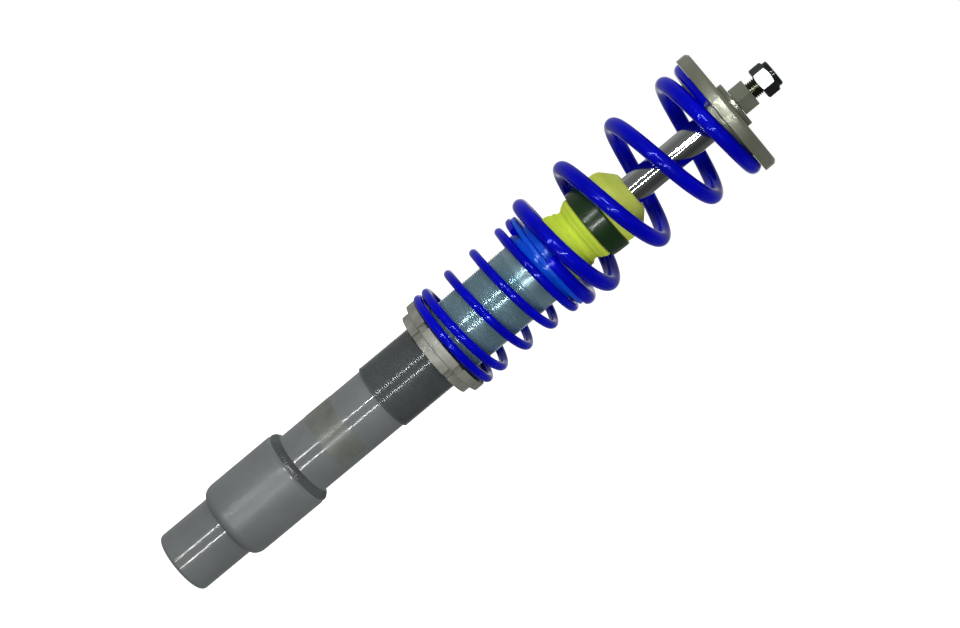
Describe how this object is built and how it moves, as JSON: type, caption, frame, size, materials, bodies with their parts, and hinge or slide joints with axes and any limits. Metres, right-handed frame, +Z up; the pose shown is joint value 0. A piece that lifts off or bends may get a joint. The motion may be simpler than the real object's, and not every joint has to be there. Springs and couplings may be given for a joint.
{
  "type": "strut assembly",
  "caption": "Front coilover suspension strut: clamp-in damper tube, threaded perch with lock ring, helper and main coil springs, bump stop, chromed rod and top spring plate.",
  "frame": {"origin": "centre of the closed lower end face, on the strut axis", "axes": "+Z up along the strut axis towards the rod's stud, -Y the side seen from the front, +X to its right"},
  "size_m": [0.09, 0.09, 0.5003],
  "materials": {
    "casing_paint": "grey gloss paint over steel",
    "zinc_plate": "blue-green passivated zinc plate",
    "collar_metal": "machined, yellow-grey plate",
    "spring_coat": "deep blue gloss powder coat",
    "coupler_coat": "lighter blue coat",
    "liner_plastic": "white sliding plastic",
    "slip_plastic": "dark filled plastic",
    "stop_foam": "microcellular foam",
    "stop_ring": "dark moulded plastic",
    "rod_chrome": "ground and chromed",
    "plate_metal": "turned, olive plate",
    "plain_steel": "plain machined steel",
    "nut_black": "black oxide",
    "insert_plastic": "nylon locking insert",
    "bronze": "bronze-backed bush",
    "sintered_steel": "sintered steel",
    "seal_rubber": "moulded nitrile rubber"
  },
  "bodies": {
    "damper_body": {"outer_tube": "casing_paint", "base_plug": "casing_paint", "clamp_sleeve": "casing_paint", "threaded_tube": "zinc_plate", "inner_tube": "plain_steel", "base_valve_body": "sintered_steel", "base_valve_shims": "plain_steel", "base_valve_bolt": "plain_steel", "base_valve_nut": "plain_steel", "rod_guide": "sintered_steel", "rod_guide_bush": "bronze", "rod_oil_seal": "seal_rubber", "gland_o_ring": "seal_rubber", "gland_nut": "zinc_plate", "rod_wiper": "seal_rubber", "bump_stop_foam": "stop_foam", "bump_stop_ring": "stop_ring"},
    "slip_ring": {"slip_ring": "slip_plastic", "helper_spring": "spring_coat"},
    "adjuster_collar": {"adjuster_collar": "collar_metal"},
    "lock_ring": {"lock_ring": "collar_metal"},
    "spring_coupler": {"spring_coupler": "coupler_coat", "coupler_liner": "liner_plastic", "main_spring": "spring_coat"},
    "piston_ring": {"piston_ring": "slip_plastic"},
    "rod_assembly": {"piston_rod": "rod_chrome", "rebound_clip": "plain_steel", "rebound_stop": "seal_rubber", "compression_shims": "plain_steel", "piston": "sintered_steel", "rebound_shims": "plain_steel", "piston_nut": "plain_steel", "top_plate": "plate_metal", "top_washer": "plain_steel", "hex_spacer": "plain_steel", "top_nut": "nut_black", "nut_insert": "insert_plastic"}
  },
  "joints": [
    {"name": "rod_stroke", "type": "slide", "parent": "damper_body", "child": "piston_ring", "axis": [0, 0, 1], "range_m": [-0.065, 0], "stiffness_N_per_m": 9300, "springref_m": 0.005, "deforming": ["main_spring", "helper_spring"]},
    {"name": "rod_spin", "type": "hinge", "parent": "piston_ring", "child": "rod_assembly", "pos_m": [0, 0, 0.2232], "axis": [0, 0, 1], "continuous": true},
    {"name": "coupler_slide", "type": "slide", "parent": "damper_body", "child": "spring_coupler", "axis": [0, 0, 1], "range_m": [-0.0236, 0.0002]},
    {"name": "perch_travel", "type": "slide", "parent": "damper_body", "child": "slip_ring", "axis": [0, 0, 1], "range_m": [-0.02, 0.01], "deforming": ["helper_spring"]},
    {"name": "collar_turn", "type": "hinge", "parent": "slip_ring", "child": "adjuster_collar", "pos_m": [0, 0, 0.2262], "axis": [0, 0, 1], "range_deg": [-4805, 2405]},
    {"name": "lock_ring_turn", "type": "hinge", "parent": "slip_ring", "child": "lock_ring", "pos_m": [0, 0, 0.2195], "axis": [0, 0, 1], "range_deg": [-90, 0]}
  ],
  "couplings": [
    {"joint": "coupler_slide", "follows": "rod_stroke", "ratio": 0.36},
    {"joint": "collar_turn", "follows": "perch_travel", "rad_per_m": 4188.8}
  ]
}
